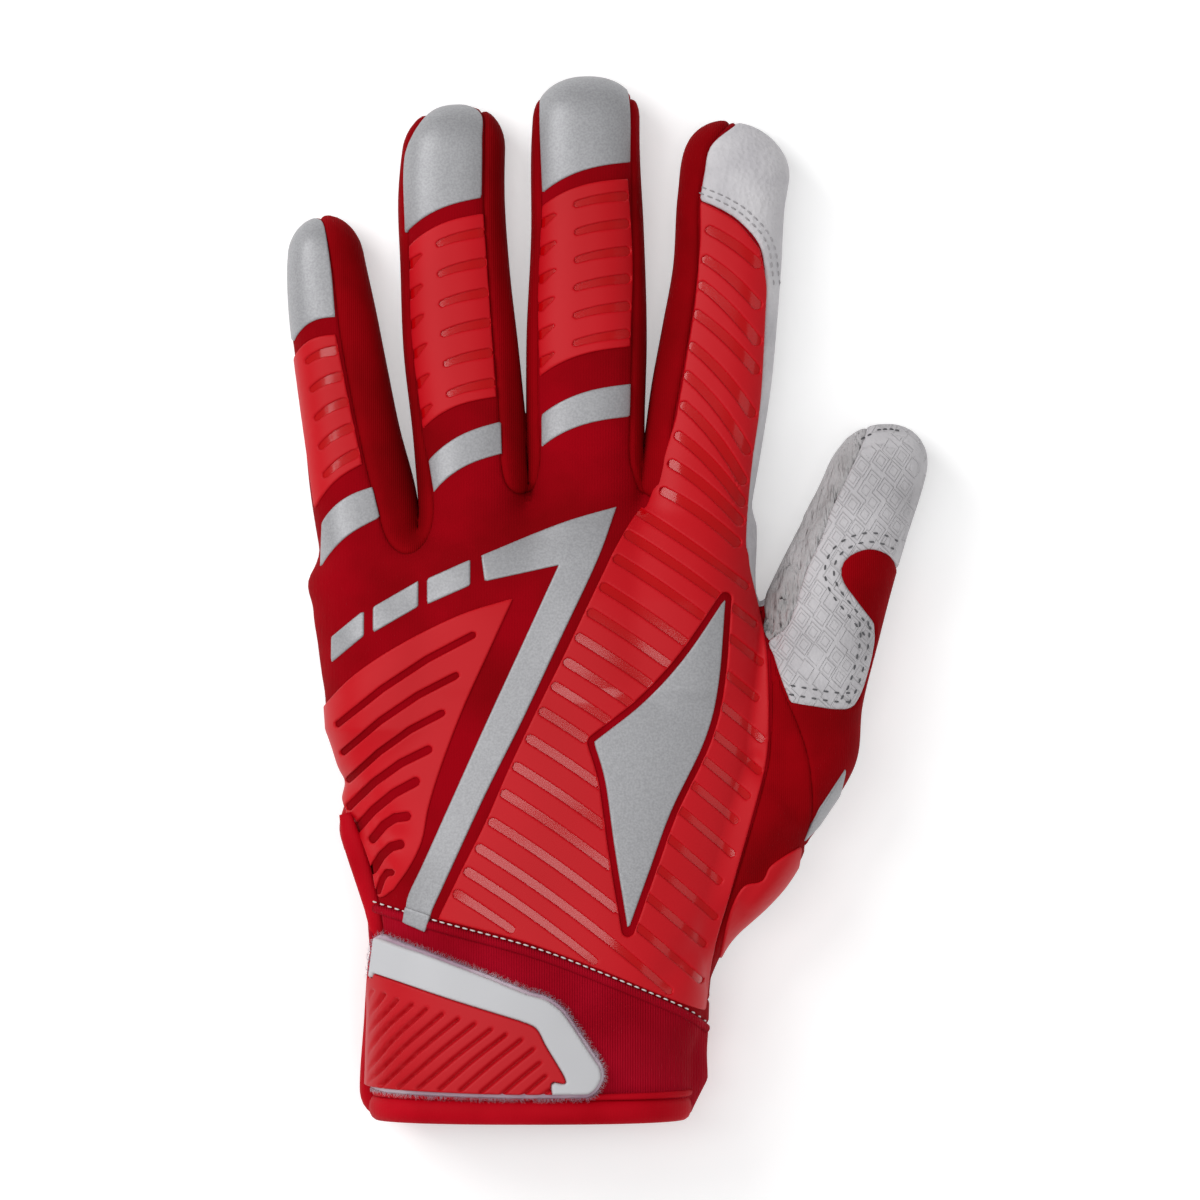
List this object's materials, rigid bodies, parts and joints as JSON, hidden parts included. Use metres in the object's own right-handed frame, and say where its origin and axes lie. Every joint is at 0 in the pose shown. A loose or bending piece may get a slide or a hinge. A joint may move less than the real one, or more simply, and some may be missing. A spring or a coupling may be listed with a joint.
{
  "type": "batting glove",
  "caption": "Left-hand batting glove lying palm down: cloth back with slotted grip films, leather palm and thumb, knit cuff with a fastened strap.",
  "frame": {"origin": "middle of the whole glove's bounding box, on the surface that it lies on", "axes": "+Y towards the fingertips, +X towards the thumb, +Z out of the back of the hand"},
  "size_m": [0.1436, 0.2346, 0.0399],
  "materials": {
    "crimson_cloth": "matte stretch knit cloth",
    "knit_band": "matte ribbed knit",
    "edge_binding": "matte folded edging",
    "white_leather": "matte grained leather",
    "embossed_leather": "matte leather with pressed cells",
    "grip_film": "satin film with glossy slots",
    "ribbed_rubber": "satin moulded rubber with ribs",
    "silver_film": "reflective silver film",
    "frame_rubber": "satin white moulded rubber",
    "hook_cloth": "pale fuzzy hook cloth"
  },
  "bodies": {
    "root": {"cuff_band": "knit_band", "index_leather": "white_leather", "thumb_patch": "embossed_leather", "palm_leather": "white_leather", "thumb_back_panel": "crimson_cloth", "thumb_gusset": "crimson_cloth", "fourchette_little_ring": "crimson_cloth", "fourchette_ring_middle": "crimson_cloth", "fourchette_middle_index": "crimson_cloth", "back_panel": "crimson_cloth", "cuff_binding": "edge_binding", "seam_piping": "knit_band", "strap_hook_pad": "hook_cloth", "strap_frame": "frame_rubber", "strap_grip": "ribbed_rubber", "slit_binding": "edge_binding", "slit_pull_tab": "edge_binding", "hand_grip": "grip_film", "badge": "silver_film", "ulnar_grip": "grip_film", "thumb_side_grip": "grip_film", "angle_stripe": "silver_film", "thumb_mark": "silver_film", "fingertip_print_little": "silver_film", "knuckle_bar_little": "silver_film", "finger_grip_little": "grip_film", "fingertip_print_ring": "silver_film", "knuckle_bar_ring": "silver_film", "finger_grip_ring": "grip_film", "fingertip_print_middle": "silver_film", "knuckle_bar_middle": "silver_film", "finger_grip_middle": "grip_film", "stripe_dash_1": "silver_film", "stripe_dash_2": "silver_film", "stripe_dash_3": "silver_film"}
  },
  "joints": []
}
